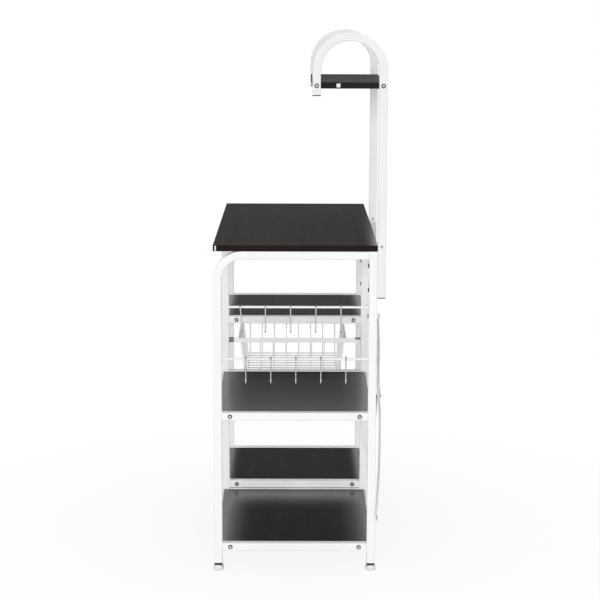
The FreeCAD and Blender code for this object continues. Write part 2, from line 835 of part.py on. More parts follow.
def all_parts():
    """Every piece by node name: one solid, or a list of the solids that share the node."""
    parts = {"tabletop": tabletop()}
    frames = (("right", right_x), ("middle", middle_x), ("left", left_x))
    for side, frame_x in frames:
        parts[f"{side}_bent_front_leg"] = bent_front_leg(frame_x)
        parts[f"{side}_rear_leg"] = rear_leg(frame_x)
    for name, (frame_x, height, way) in rails.items():
        parts[name] = rail(frame_x, height)
    parts["upper_hook_rod"] = hook_rod(upper_rod_height)
    parts["lower_hook_rod"] = hook_rod(lower_rod_height)
    parts["wide_upper_shelf"] = column_shelf(middle_x, right_x, wide_upper_height)
    parts["wide_lower_shelf"] = column_shelf(middle_x, right_x, wide_lower_height)
    parts["narrow_upper_shelf"] = column_shelf(left_x, middle_x, narrow_upper_height)
    parts["narrow_lower_shelf"] = column_shelf(left_x, middle_x, narrow_lower_height)
    parts["hutch_shelf"] = hutch_shelf()
    parts["right_cane_post"] = cane_post(right_x)
    parts["middle_cane_post"] = cane_post(middle_x)
    parts["post_end_plugs"] = post_end_plugs()
    parts["post_side_plugs"] = side_plugs()
    parts["brace_rod_inner"] = brace_rod(brace_upper_height, brace_lower_height, -1)
    parts["brace_rod_outer"] = brace_rod(brace_lower_height, brace_upper_height, 1)
    parts["brace_pivot"] = brace_pivot()
    parts["shelf_bolts"] = shelf_bolts()
    parts["post_bolts"] = post_bolts()
    parts["brace_bolts_and_nuts"] = brace_bolts_and_nuts()
    parts["tabletop_screws"] = tabletop_screws()
    parts["basket_rim"] = basket_rim()
    parts["basket_cross_wires"] = basket_cross_wires()
    parts["basket_long_wires"] = basket_long_wires()
    parts["left_basket_runner"] = runner(left_x, 1)
    parts["right_basket_runner"] = runner(middle_x, -1)
    parts["runner_clips"] = runner_clips()
    parts["leg_plugs"] = leg_plugs()
    for name, (place_x, place_y) in leg_places().items():
        parts[f"{name}_foot"] = levelling_foot(place_x, place_y)
    parts.update(hooks())
    return parts


def write_parts():
    """One STEP file for each node."""
    os.makedirs("parts", exist_ok=True)
    for name, piece in all_parts().items():
        shape = Part.makeCompound(piece) if isinstance(piece, list) else piece
        shape.exportStep(os.path.join("parts", f"{name}.step"))


write_parts()
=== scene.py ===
"""Bakers rack: finishes, small trim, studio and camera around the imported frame."""
import json
import logging
import math
from dataclasses import dataclass, field
from enum import Enum
from typing import Iterable, Optional

import bmesh
import bpy
from mathutils import Matrix, Vector


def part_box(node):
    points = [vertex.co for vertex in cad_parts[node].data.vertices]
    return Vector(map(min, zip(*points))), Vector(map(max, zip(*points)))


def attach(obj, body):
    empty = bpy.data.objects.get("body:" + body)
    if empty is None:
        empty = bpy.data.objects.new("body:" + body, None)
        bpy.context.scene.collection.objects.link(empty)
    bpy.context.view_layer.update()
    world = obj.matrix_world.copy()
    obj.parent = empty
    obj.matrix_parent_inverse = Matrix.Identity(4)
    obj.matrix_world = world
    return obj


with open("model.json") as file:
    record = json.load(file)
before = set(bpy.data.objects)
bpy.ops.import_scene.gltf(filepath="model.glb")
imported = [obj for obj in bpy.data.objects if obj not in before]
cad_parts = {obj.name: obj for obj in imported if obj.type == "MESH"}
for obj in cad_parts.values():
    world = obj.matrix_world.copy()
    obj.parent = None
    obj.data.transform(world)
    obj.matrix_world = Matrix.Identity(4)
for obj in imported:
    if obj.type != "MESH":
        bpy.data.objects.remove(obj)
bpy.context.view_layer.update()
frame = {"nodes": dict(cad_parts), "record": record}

LOG = logging.getLogger("bakers_rack")
MM = 0.001
BACKWARDS = Vector((0, 1, 0))
SHARP_ANGLE = math.radians(35)
PLASTIC_IOR = 1.5
PLAIN_WHITE = (1.0, 1.0, 1.0, 1.0)
# A Mix node repeats its sockets' names for each data type, so those for colours go by number.
COLOUR_MIX_INPUTS = ("0", "6", "7")
COLOUR_MIX_RESULT = 2


class GrainRun(Enum):
    """Which way a board's grain runs, as a factor on each axis of its texture."""

    ALONG_WIDTH = (0.045, 1.0, 1.0)
    ALONG_DEPTH = (1.0, 0.045, 1.0)


# ------------------------------------------------------------------ shader sheets and groups


class NodeSheet:
    """Adds nodes to one node tree and joins them."""

    def __init__(self, tree: bpy.types.NodeTree) -> None:
        """Takes a material's, a world's or a group's node tree."""
        self.tree = tree
        self.nodes = tree.nodes

    def add(self, kind: str, settings: Optional[dict] = None, **inputs) -> bpy.types.Node:
        """Adds one node.

        Args:
            kind: Blender's name for the node type.
            settings: The node's own properties.
            **inputs: Input sockets by name, with underscores for spaces. A socket joins,
                and anything else is set as the default value.

        Returns:
            The new node.
        """
        node = self.nodes.new(kind)
        for name, value in (settings or {}).items():
            setattr(node, name, value)
        for name, value in inputs.items():
            self.feed(node, name.replace("_", " "), value)
        return node

    def feed(self, node: bpy.types.Node, name: str, value: object) -> None:
        """Sets or joins one input of a node.

        Args:
            node: The node whose input it is.
            name: The input's name, or its number as text.
            value: A socket to join, or a default value.
        """
        socket = node.inputs[int(name)] if name.isdigit() else node.inputs[name]
        if isinstance(value, bpy.types.NodeSocket):
            self.tree.links.new(value, socket)
        else:
            socket.default_value = value

    def math(self, operation: str, first: object, second: object = 0.0,
             clamp: bool = False) -> bpy.types.NodeSocket:
        """Adds a maths node.

        Args:
            operation: Blender's name for the operation.
            first: First operand.
            second: Second operand.
            clamp: Whether the result is kept between 0 and 1.

        Returns:
            Its result socket.
        """
        node = self.nodes.new("ShaderNodeMath")
        node.operation = operation
        node.use_clamp = clamp
        self.feed(node, "0", first)
        self.feed(node, "1", second)
        return node.outputs[0]

    def blend(self, factor: object, low: object, high: object) -> bpy.types.NodeSocket:
        """Adds a colour mix.

        Args:
            factor: 0 for low and 1 for high.
            low: Colour or socket.
            high: Colour or socket.

        Returns:
            The mixed colour's socket.
        """
        node = self.nodes.new("ShaderNodeMix")
        node.data_type = "RGBA"
        for name, item in zip(COLOUR_MIX_INPUTS, (factor, low, high)):
            self.feed(node, name, item)
        return node.outputs[COLOUR_MIX_RESULT]

    def spread(self, value: object, low: float, high: float, new_low: float,
               new_high: float) -> bpy.types.NodeSocket:
        """Adds a clamped map range.

        Args:
            value: The value to map.
            low: Value that maps to new_low.
            high: Value that maps to new_high.
            new_low: Result at low.
            new_high: Result at high.

        Returns:
            The result's socket.
        """
        node = self.nodes.new("ShaderNodeMapRange")
        for name, item in zip("01234", (value, low, high, new_low, new_high)):
            self.feed(node, name, item)
        return node.outputs[0]

    def own(self, kind: str) -> bpy.types.Node:
        """The node of one type that came with the tree."""
        return next(node for node in self.nodes if node.type == kind)

    def seen_or_mirrored(self, path: bpy.types.Node) -> bpy.types.NodeSocket:
        """Socket that is 1 for camera, glossy and transmission rays and 0 for the rest."""
        mirrored = self.math("MAXIMUM", path.outputs["Is Glossy Ray"],
                             path.outputs["Is Transmission Ray"])
        return self.math("MAXIMUM", path.outputs["Is Camera Ray"], mirrored)


def rgba(colour: tuple[float, float, float]) -> tuple[float, float, float, float]:
    """Opaque colour with its alpha."""
    return (*colour, 1.0)


class ShaderGroup:
    """One shared node group with named inputs and outputs, built once."""

    name = "group"
    inputs: tuple[tuple[str, str, object], ...] = ()
    outputs: tuple[tuple[str, str], ...] = ()

    def tree(self) -> bpy.types.NodeTree:
        """Gives the group's tree, and builds it the first time.

        Returns:
            The node group.
        """
        known = bpy.data.node_groups.get(self.name)
        if known:
            return known
        tree = bpy.data.node_groups.new(self.name, "ShaderNodeTree")
        for name, kind, value in self.inputs:
            socket = tree.interface.new_socket(name, in_out="INPUT", socket_type=kind)
            socket.default_value = value
        for name, kind in self.outputs:
            tree.interface.new_socket(name, in_out="OUTPUT", socket_type=kind)
        sheet = NodeSheet(tree)
        given = tree.nodes.new("NodeGroupInput").outputs
        result = tree.nodes.new("NodeGroupOutput")
        for name, socket in self.fill(sheet, given).items():
            tree.links.new(socket, result.inputs[name])
        return tree

    def fill(self, sheet: NodeSheet, given: object) -> dict[str, bpy.types.NodeSocket]:
        """Adds the group's nodes and gives a socket for each output's name."""
        raise NotImplementedError

    def place(self, sheet: NodeSheet, **inputs) -> bpy.types.Node:
        """Places the group in a material.

        Args:
            sheet: Sheet of the material's tree.
            **inputs: The group's inputs by name, with underscores for spaces.

        Returns:
            The group node.
        """
        node = sheet.nodes.new("ShaderNodeGroup")
        node.node_tree = self.tree()
        for name, value in inputs.items():
            sheet.feed(node, name.replace("_", " "), value)
        return node


class ToneDrift(ShaderGroup):
    """Slow, faint change of tone over a surface, with a little fine dust."""

    name = "tone_drift"
    inputs = (
        ("Tone", "NodeSocketColor", (0.8, 0.8, 0.8, 1.0)),
        ("Other Tone", "NodeSocketColor", (0.7, 0.7, 0.7, 1.0)),
        ("Patches", "NodeSocketFloat", 9.0),
        ("Specks", "NodeSocketFloat", 900.0),
    )
    outputs = (("Color", "NodeSocketColor"), ("Mask", "NodeSocketFloat"))
    patch_span = (0.35, 0.65)
    patch_share = 0.8
    speck_span = (0.62, 0.74)
    speck_share = 0.35

    def fill(self, sheet: NodeSheet, given: object) -> dict[str, bpy.types.NodeSocket]:
        """Adds slow patches and fine specks, and blends the tones by them.

        Args:
            sheet: Sheet of the group's tree.
            given: Sockets of the group's inputs, by name.

        Returns:
            A socket for each output's name.
        """
        place = sheet.add("ShaderNodeTexCoord").outputs["Object"]
        patches = sheet.add("ShaderNodeTexNoise", Vector=place, Scale=given["Patches"],
                            Detail=3.0, Roughness=0.55)
        specks = sheet.add("ShaderNodeTexNoise", Vector=place, Scale=given["Specks"],
                           Detail=1.0, Roughness=0.5)
        slow = sheet.spread(patches.outputs[0], *self.patch_span, 0.0, self.patch_share)
        fine = sheet.spread(specks.outputs[0], *self.speck_span, 0.0, self.speck_share)
        mask = sheet.math("ADD", slow, fine, clamp=True)
        colour = sheet.blend(mask, given["Tone"], given["Other Tone"])
        return {"Color": colour, "Mask": mask}


class SkinTexture(ShaderGroup):
    """Height of a sprayed or moulded skin: a soft ripple under a finer grain."""

    name = "skin_texture"
    inputs = (
        ("Ripple", "NodeSocketFloat", 260.0),
        ("Grain", "NodeSocketFloat", 1500.0),
        ("Grain Share", "NodeSocketFloat", 0.3),
    )
    outputs = (("Height", "NodeSocketFloat"),)

    def fill(self, sheet: NodeSheet, given: object) -> dict[str, bpy.types.NodeSocket]:
        """Adds the ripple and the grain and mixes their heights.

        Args:
            sheet: Sheet of the group's tree.
            given: Sockets of the group's inputs, by name.

        Returns:
            A socket for each output's name.
        """
        place = sheet.add("ShaderNodeTexCoord").outputs["Object"]
        ripple = sheet.add("ShaderNodeTexNoise", Vector=place, Scale=given["Ripple"],
                           Detail=1.5, Roughness=0.4)
        grain = sheet.add("ShaderNodeTexNoise", Vector=place, Scale=given["Grain"],
                          Detail=2.0, Roughness=0.5)
        fine = sheet.math("MULTIPLY", grain.outputs[0], given["Grain Share"])
        return {"Height": sheet.math("ADD", ripple.outputs[0], fine)}


class WoodGrain(ShaderGroup):
    """Printed wood grain: long streaks, short pores and slow bands."""

    name = "wood_grain"
    inputs = (
        ("Stretch", "NodeSocketVector", (0.045, 1.0, 1.0)),
        ("Dark", "NodeSocketColor", (0.01, 0.01, 0.01, 1.0)),
        ("Light", "NodeSocketColor", (0.03, 0.03, 0.03, 1.0)),
    )
    outputs = (
        ("Color", "NodeSocketColor"),
        ("Mask", "NodeSocketFloat"),
        ("Height", "NodeSocketFloat"),
    )
    tone_span = (0.25, 0.75)
    streak_share = 0.6
    band_share = 0.4
    pore_span = (0.56, 0.74)
    pore_share = 0.3

    def fill(self, sheet: NodeSheet, given: object) -> dict[str, bpy.types.NodeSocket]:
        """Adds the streaks, the pores and the bands, and blends the tones by them.

        Args:
            sheet: Sheet of the group's tree.
            given: Sockets of the group's inputs, by name.

        Returns:
            A socket for each output's name.
        """
        place = sheet.add("ShaderNodeTexCoord").outputs["Object"]
        stretch = sheet.add("ShaderNodeVectorMath", {"operation": "MULTIPLY"})
        sheet.feed(stretch, "0", place)
        sheet.feed(stretch, "1", given["Stretch"])
        along = stretch.outputs[0]
        streaks = sheet.add("ShaderNodeTexNoise", Vector=along, Scale=320.0, Detail=4.0,
                            Roughness=0.6, Distortion=0.3)
        pores = sheet.add("ShaderNodeTexNoise", Vector=along, Scale=760.0, Detail=2.0,
                          Roughness=0.6)
        bands = sheet.add("ShaderNodeTexNoise", Vector=along, Scale=26.0, Detail=3.0,
                          Roughness=0.5, Distortion=1.2)
        streak = sheet.spread(streaks.outputs[0], *self.tone_span, 0.0, self.streak_share)
        band = sheet.spread(bands.outputs[0], *self.tone_span, 0.0, self.band_share)
        pore = sheet.spread(pores.outputs[0], *self.pore_span, 0.0, self.pore_share)
        body = sheet.math("ADD", streak, band)
        mask = sheet.math("SUBTRACT", body, pore, clamp=True)
        colour = sheet.blend(mask, given["Dark"], given["Light"])
        return {"Color": colour, "Mask": mask, "Height": mask}


class PaintedEdgeSheen(ShaderGroup):
    """Mask for a painted sheen on a laminate's coat: most along a board's open edges."""

    name = "painted_edge_sheen"
    inputs = (
        ("Low", "NodeSocketVector", (0.0, 0.0, 0.0)),
        ("High", "NodeSocketVector", (1.0, 1.0, 1.0)),
        ("Side Reach", "NodeSocketFloat", 0.1),
        ("Front Level", "NodeSocketFloat", 0.5),
        ("Back Level", "NodeSocketFloat", 0.5),
        ("Side Growth", "NodeSocketFloat", 0.0),
        ("Far Reach", "NodeSocketFloat", 0.1),
        ("Far Level", "NodeSocketFloat", 0.0),
        ("Near Level", "NodeSocketFloat", 0.0),
    )
    outputs = (("Mask", "NodeSocketFloat"),)
    steepness = 4.0

    def fill(self, sheet: NodeSheet, given: object) -> dict[str, bpy.types.NodeSocket]:
        """Adds the painted sheen of both sides and both ends.

        Args:
            sheet: Sheet of the group's tree.
            given: Sockets of the group's inputs, by name.

        Returns:
            A socket for each output's name.
        """
        place = sheet.add("ShaderNodeTexCoord").outputs["Object"]
        here = sheet.add("ShaderNodeSeparateXYZ", Vector=place).outputs
        low = sheet.add("ShaderNodeSeparateXYZ", Vector=given["Low"]).outputs
        high = sheet.add("ShaderNodeSeparateXYZ", Vector=given["High"]).outputs
        front = sheet.math("SUBTRACT", here["Y"], low["Y"])
        back = sheet.math("SUBTRACT", high["Y"], here["Y"])
        far = sheet.math("SUBTRACT", here["X"], low["X"])
        length = sheet.math("SUBTRACT", high["X"], low["X"])
        along = sheet.math("DIVIDE", far, length, clamp=True)
        front_sheen = self.fall(sheet, front, given["Side Reach"], given["Front Level"])
        back_sheen = self.fall(sheet, back, given["Side Reach"], given["Back Level"])
        growth = sheet.math("POWER", along, given["Side Growth"])
        side_sheen = sheet.math("MULTIPLY", sheet.math("ADD", front_sheen, back_sheen), growth)
        far_sheen = self.fall(sheet, far, given["Far Reach"], given["Far Level"])
        near_sheen = sheet.math("MULTIPLY", along, given["Near Level"])
        both = sheet.math("ADD", side_sheen, far_sheen)
        return {"Mask": sheet.math("ADD", both, near_sheen, clamp=True)}

    def fall(self, sheet: NodeSheet, distance: object, reach: object,
             level: object) -> bpy.types.NodeSocket:
        """Adds a steep fall from an edge to nothing.

        Args:
            sheet: Sheet of the group's tree.
            distance: Distance from the edge.
            reach: Distance at which nothing is left.
            level: Value at the edge.

        Returns:
            Socket of the value.
        """
        share = sheet.math("DIVIDE", distance, reach, clamp=True)
        left = sheet.math("POWER", sheet.math("SUBTRACT", 1.0, share), self.steepness)
        return sheet.math("MULTIPLY", left, level)


# ------------------------------------------------------------------ finishes


@dataclass(frozen=True)
class Finish:
    """A named finish that builds one material."""

    name: str
    tone: tuple[float, float, float]
    other_tone: tuple[float, float, float]
    slot: str

    def material(self) -> bpy.types.Material:
        """Builds the material, or gives the one built before.

        Returns:
            The finish's material.
        """
        known = bpy.data.materials.get(self.name)
        if known:
            return known
        made = bpy.data.materials.new(self.name)
        made.use_nodes = True
        sheet = NodeSheet(made.node_tree)
        shader = sheet.own("BSDF_PRINCIPLED")
        self.dress(sheet, shader)
        return made

    def dress(self, sheet: NodeSheet, shader: bpy.types.Node) -> None:
        """Sets the shader and feeds its inputs."""
        raise NotImplementedError

    def roughen(self, sheet: NodeSheet, shader: bpy.types.Node, mask: object, low: float,
                high: float) -> None:
        """Lets the roughness go from low to high as a mask goes from 0 to 1."""
        sheet.feed(shader, "Roughness", sheet.spread(mask, 0.0, 1.0, low, high))

    def emboss(self, sheet: NodeSheet, shader: bpy.types.Node, height: object,
               depth: float, strength: float) -> None:
        """Feeds the shader's normal from a height, where a height of 1 is depth metres."""
        bump = sheet.add("ShaderNodeBump", Strength=strength, Distance=depth, Height=height)
        sheet.feed(shader, "Normal", bump.outputs[0])


@dataclass(frozen=True)
class PowderCoat(Finish):
    """White powder coat on steel: faint ripple, semi-gloss, hardly any change of tone."""

    smooth: float = 0.3
    rough: float = 0.42
    ripple: float = 240.0

    def dress(self, sheet: NodeSheet, shader: bpy.types.Node) -> None:
        """Sets a semi-gloss coat with a sprayed ripple.

        Args:
            sheet: Sheet of the material's tree.
            shader: The material's Principled BSDF.
        """
        drift = ToneDrift().place(sheet, Tone=rgba(self.tone), Other_Tone=rgba(self.other_tone),
                                  Patches=7.0, Specks=1100.0)
        sheet.feed(shader, "Base Color", drift.outputs["Color"])
        sheet.feed(shader, "IOR", PLASTIC_IOR)
        self.roughen(sheet, shader, drift.outputs["Mask"], self.smooth, self.rough)
        skin = SkinTexture().place(sheet, Ripple=self.ripple, Grain=1700.0, Grain_Share=0.25)
        self.emboss(sheet, shader, skin.outputs["Height"], depth=0.12 * MM, strength=0.35)


@dataclass(frozen=True)
class Laminate(Finish):
    """Dark printed laminate or edge band with a fine wood grain."""

    grain: GrainRun = GrainRun.ALONG_WIDTH
    smooth: float = 0.5
    rough: float = 0.66
    relief: float = 0.15
    sheen_level: float = 0.03

    def dress(self, sheet: NodeSheet, shader: bpy.types.Node) -> None:
        """Sets a satin laminate whose streaks change colour, gloss and relief.

        Args:
            sheet: Sheet of the material's tree.
            shader: The material's Principled BSDF.
        """
        grain = WoodGrain().place(sheet, Stretch=self.grain.value, Dark=rgba(self.tone),
                                  Light=rgba(self.other_tone))
        sheet.feed(shader, "Base Color", grain.outputs["Color"])
        sheet.feed(shader, "IOR", PLASTIC_IOR)
        sheet.feed(shader, "Specular IOR Level", self.sheen_level)
        self.roughen(sheet, shader, grain.outputs["Mask"], self.rough, self.smooth)
        self.emboss(sheet, shader, grain.outputs["Height"], depth=0.08 * MM,
                    strength=self.relief)


@dataclass(frozen=True)
class SheenPaintedLaminate(Laminate):
    """Laminate of one shelf with a painted sheen: a coat weighted most along its open edges."""

    node: str = ""
    side_reach: float = 120.0 * MM
    front_level: float = 1.0
    back_level: float = 1.0
    side_growth: float = 0.0
    far_reach: float = 260.0 * MM
    far_level: float = 0.0
    near_level: float = 0.0
    painted_sheen_roughness: float = 0.3

    def dress(self, sheet: NodeSheet, shader: bpy.types.Node) -> None:
        """Sets the laminate and lays a coat of painted sheen over it.

        Args:
            sheet: Sheet of the material's tree.
            shader: The material's Principled BSDF.
        """
        super().dress(sheet, shader)
        low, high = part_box(self.node)
        # The coat's weight is a painted sheen that stands in for reflections along the board's
        # edges.
        painted_sheen = PaintedEdgeSheen().place(sheet, Low=low, High=high, Side_Reach=self.side_reach,
                                Front_Level=self.front_level, Back_Level=self.back_level,
                                Side_Growth=self.side_growth, Far_Reach=self.far_reach,
                                Far_Level=self.far_level, Near_Level=self.near_level)
        sheet.feed(shader, "Coat Weight", painted_sheen.outputs["Mask"])
        sheet.feed(shader, "Coat Roughness", self.painted_sheen_roughness)


@dataclass(frozen=True)
class Moulding(Finish):
    """Moulded plastic with a fine skin."""

    smooth: float = 0.42
    rough: float = 0.58

    def dress(self, sheet: NodeSheet, shader: bpy.types.Node) -> None:
        """Sets a satin plastic with a grained skin.

        Args:
            sheet: Sheet of the material's tree.
            shader: The material's Principled BSDF.
        """
        drift = ToneDrift().place(sheet, Tone=rgba(self.tone), Other_Tone=rgba(self.other_tone),
                                  Patches=60.0, Specks=1400.0)
        sheet.feed(shader, "Base Color", drift.outputs["Color"])
        self.roughen(sheet, shader, drift.outputs["Mask"], self.smooth, self.rough)
        skin = SkinTexture().place(sheet, Ripple=600.0, Grain=2600.0, Grain_Share=0.6)
        self.emboss(sheet, shader, skin.outputs["Height"], depth=0.1 * MM, strength=0.4)


@dataclass(frozen=True)
class PlatedMetal(Finish):
    """Plated steel whose gloss changes a little over the surface."""

    smooth: float = 0.28
    rough: float = 0.42

    def dress(self, sheet: NodeSheet, shader: bpy.types.Node) -> None:
        """Sets a metal with a faint drift of tone and gloss.

        Args:
            sheet: Sheet of the material's tree.
            shader: The material's Principled BSDF.
        """
        drift = ToneDrift().place(sheet, Tone=rgba(self.tone), Other_Tone=rgba(self.other_tone),
                                  Patches=120.0, Specks=1800.0)
        sheet.feed(shader, "Base Color", drift.outputs["Color"])
        sheet.feed(shader, "Metallic", 1.0)
        self.roughen(sheet, shader, drift.outputs["Mask"], self.smooth, self.rough)
        skin = SkinTexture().place(sheet, Ripple=500.0, Grain=2400.0, Grain_Share=0.3)
        self.emboss(sheet, shader, skin.outputs["Height"], depth=0.05 * MM, strength=0.25)


@dataclass(frozen=True)
class PaintedLightPlate(Finish):
    """Metal plate with a painted highlight on faces square to X and painted shade on its
    flanks.
    """

    highlight_start: float
    highlight_end: float
    smooth: float = 0.2
    rough: float = 0.34
    dull_share: float = 0.88

    def dress(self, sheet: NodeSheet, shader: bpy.types.Node) -> None:
        """Sets a metal whose first tone is painted shade on its flanks and whose other tone is
        a painted highlight on its faces.

        Args:
            sheet: Sheet of the material's tree.
            shader: The material's Principled BSDF.
        """
        # The normal's X part picks the tone: painted highlight where a face is square to X,
        # painted shade on the flanks.
        normal = sheet.add("ShaderNodeTexCoord").outputs["Normal"]
        parts = sheet.add("ShaderNodeSeparateXYZ", Vector=normal)
        square = sheet.math("ABSOLUTE", parts.outputs["X"])
        mask = sheet.spread(square, self.highlight_start, self.highlight_end, 0.0, 1.0)
        dull = rgba(tuple(self.dull_share * tone for tone in self.other_tone))
        drift = ToneDrift().place(sheet, Tone=rgba(self.other_tone), Other_Tone=dull,
                                  Patches=160.0, Specks=2200.0)
        colour = sheet.blend(mask, rgba(self.tone), drift.outputs["Color"])
        sheet.feed(shader, "Base Color", colour)
        sheet.feed(shader, "Metallic", 1.0)
        self.roughen(sheet, shader, drift.outputs["Mask"], self.smooth, self.rough)
        skin = SkinTexture().place(sheet, Ripple=500.0, Grain=2400.0, Grain_Share=0.3)
        self.emboss(sheet, shader, skin.outputs["Height"], depth=0.04 * MM, strength=0.2)


WHITE_COAT = PowderCoat("white_powder_coat", (0.865, 0.872, 0.871), (0.835, 0.842, 0.841),
                        "frame_paint")
# The cane posts get a darker copy of the white coat: painted shade.
SHADED_POST_COAT = PowderCoat("painted_shade_post_coat", (0.795, 0.802, 0.802), (0.765, 0.772, 0.772),
                       "frame_paint")
BASKET_COAT = PowderCoat("white_wire_coat", (0.925, 0.93, 0.928), (0.9, 0.905, 0.903),
                         "basket_coating", smooth=0.12, rough=0.2, ripple=420.0)
TOP_TONES = ((0.0165, 0.0154, 0.0142), (0.0205, 0.0191, 0.0175), "board")
TOP_GLOSS = {"smooth": 0.56, "rough": 0.64, "relief": 0.06, "sheen_level": 0.016}
# The shelves share the tabletop's laminate but get darker tones: painted shade.
SHELF_TONES = ((0.0062, 0.0054, 0.005), (0.0125, 0.0108, 0.01), "board")
SHELF_GLOSS = {"smooth": 0.36, "rough": 0.42, "relief": 0.08, "sheen_level": 0.008}
# Each board's levels set its painted sheen along its sides and ends.
SHELF_FINISHES = {
    "tabletop": SheenPaintedLaminate("espresso_tabletop", *TOP_TONES, **TOP_GLOSS, node="tabletop",
                               side_reach=45.0 * MM, front_level=0.0, back_level=1.2,
                               side_growth=2.5),
    "hutch_shelf": SheenPaintedLaminate("espresso_hutch_shelf", *TOP_TONES, **TOP_GLOSS,
                                  node="hutch_shelf", front_level=0.0, back_level=0.12,
                                  near_level=0.05),
    "wide_upper_shelf": SheenPaintedLaminate("espresso_wide_upper", *SHELF_TONES, **SHELF_GLOSS,
                                       node="wide_upper_shelf", front_level=1.5,
                                       near_level=0.62),
    "wide_lower_shelf": SheenPaintedLaminate("espresso_wide_lower", *SHELF_TONES, **SHELF_GLOSS,
                                       node="wide_lower_shelf", front_level=1.8,
                                       back_level=1.2, far_level=2.6),
    "narrow_upper_shelf": SheenPaintedLaminate("espresso_narrow_upper", *SHELF_TONES, **SHELF_GLOSS,
                                         node="narrow_upper_shelf", side_reach=45.0 * MM,
                                         front_level=3.0, back_level=3.0),
    "narrow_lower_shelf": SheenPaintedLaminate("espresso_narrow_lower", *SHELF_TONES, **SHELF_GLOSS,
                                         node="narrow_lower_shelf", side_reach=45.0 * MM,
                                         front_level=3.0, back_level=3.0),
}
BAND_TONES = ((0.015, 0.0102, 0.0088), (0.024, 0.0155, 0.0132), "board")
ESPRESSO_EDGE = Laminate("espresso_edge_band", *BAND_TONES)
ESPRESSO_END = Laminate("espresso_end_band", *BAND_TONES, grain=GrainRun.ALONG_DEPTH)
CORE_BOARD = Moulding("pale_board_core", (0.8, 0.785, 0.755), (0.68, 0.66, 0.62), "board",
                      smooth=0.7, rough=0.85)
BLANK_PAPER = Moulding("blank_white_paper", (0.84, 0.84, 0.83), (0.78, 0.78, 0.77), "board",
                       smooth=0.55, rough=0.7)
BLACK_MOULDING = Moulding("black_moulding", (0.007, 0.007, 0.0075), (0.014, 0.014, 0.0145),
                          "black_plastic")
CLIP_MOULDING = Moulding("clip_moulding", (0.2, 0.2, 0.205), (0.15, 0.15, 0.155),
                         "black_plastic")
GREY_MOULDING = Moulding("grey_moulding", (0.46, 0.46, 0.48), (0.38, 0.38, 0.4),
                         "grey_plastic")
FOOT_MOULDING = Moulding("foot_moulding", (0.8, 0.81, 0.8), (0.73, 0.74, 0.73), "foot_plastic",
                         smooth=0.32, rough=0.5)
DARK_ZINC = PlatedMetal("dark_zinc", (0.035, 0.035, 0.037), (0.02, 0.02, 0.022), "fastener")
# Bolts, nuts and hooks carry a painted highlight and painted shade.
BOLT_PLATE = PaintedLightPlate("bolt_plate", (0.07, 0.07, 0.073), (0.86, 0.87, 0.88), "fastener",
                           highlight_start=0.9, highlight_end=0.985)
NUT_PLATE = PaintedLightPlate("nut_plate", (0.1, 0.1, 0.103), (0.74, 0.75, 0.76), "fastener",
                          highlight_start=0.5, highlight_end=0.95)
HOOK_PLATE = PaintedLightPlate("hook_plate", (0.1, 0.1, 0.103), (0.8, 0.81, 0.82), "hook_steel",
                           highlight_start=0.45, highlight_end=0.95)


# ------------------------------------------------------------------ making pieces


def sort_faces(mesh: bmesh.types.BMesh) -> None:
    """Sorts the faces by their corners, because a spin lists them differently on each run.

    Args:
        mesh: The bmesh whose faces are sorted.
    """
    mesh.verts.index_update()
    count = len(mesh.verts)

    def rank(face: bmesh.types.BMFace) -> int:
        """Number made of the face's three lowest corners."""
        first, second, third = sorted(corner.index for corner in face.verts)[:3]
        return (first * count + second) * count + third

    mesh.faces.sort(key=rank)


class PieceMaker:
    """Turns a bmesh into a finished piece of the rack."""

    def __init__(self, body: str) -> None:
        """Takes the name of the body that the pieces ride on."""
        self.body = body

    def finish(self, name: str, mesh: bmesh.types.BMesh, finish: Finish) -> None:
        """Writes the mesh to a new object, dresses it and lets it ride.

        Args:
            name: The piece's name.
            mesh: The shape, in metres in the row frame. It is freed.
            finish: The piece's finish.
        """
        sort_faces(mesh)
        bmesh.ops.recalc_face_normals(mesh, faces=mesh.faces)
        data = bpy.data.meshes.new(name)
        mesh.to_mesh(data)
        mesh.free()
        data.shade_smooth()
        data.set_sharp_from_angle(angle=SHARP_ANGLE)
        data.materials.append(finish.material())
        piece = bpy.data.objects.new(name, data)
        bpy.context.scene.collection.objects.link(piece)
        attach(piece, self.body)
        LOG.info("%s: %d faces on %s", name, len(data.polygons), self.body)


def add_block(mesh: bmesh.types.BMesh, low: Vector, high: Vector, ease: float) -> None:
    """Adds a block with eased edges.

    Args:
        mesh: The bmesh it is added to.
        low: Lowest corner.
        high: Highest corner.
        ease: Radius of its edges, or 0 for sharp ones.
    """
    size = high - low
    made = bmesh.ops.create_cube(mesh, size=1.0)
    corners = made["verts"]
    bmesh.ops.scale(mesh, vec=size, verts=corners)
    bmesh.ops.translate(mesh, vec=(low + high) / 2, verts=corners)
    if ease > 0:
        bmesh.ops.bevel(mesh, geom=edges_at(corners), offset=ease, offset_type="OFFSET",
                        affect="EDGES", segments=2, profile=0.5, material=-1)


def edges_at(corners: Iterable[bmesh.types.BMVert]) -> list[bmesh.types.BMEdge]:
    """Edges at some corners, each of them once, in the order in which they are met."""
    return list(dict.fromkeys(edge for corner in corners for edge in corner.link_edges))


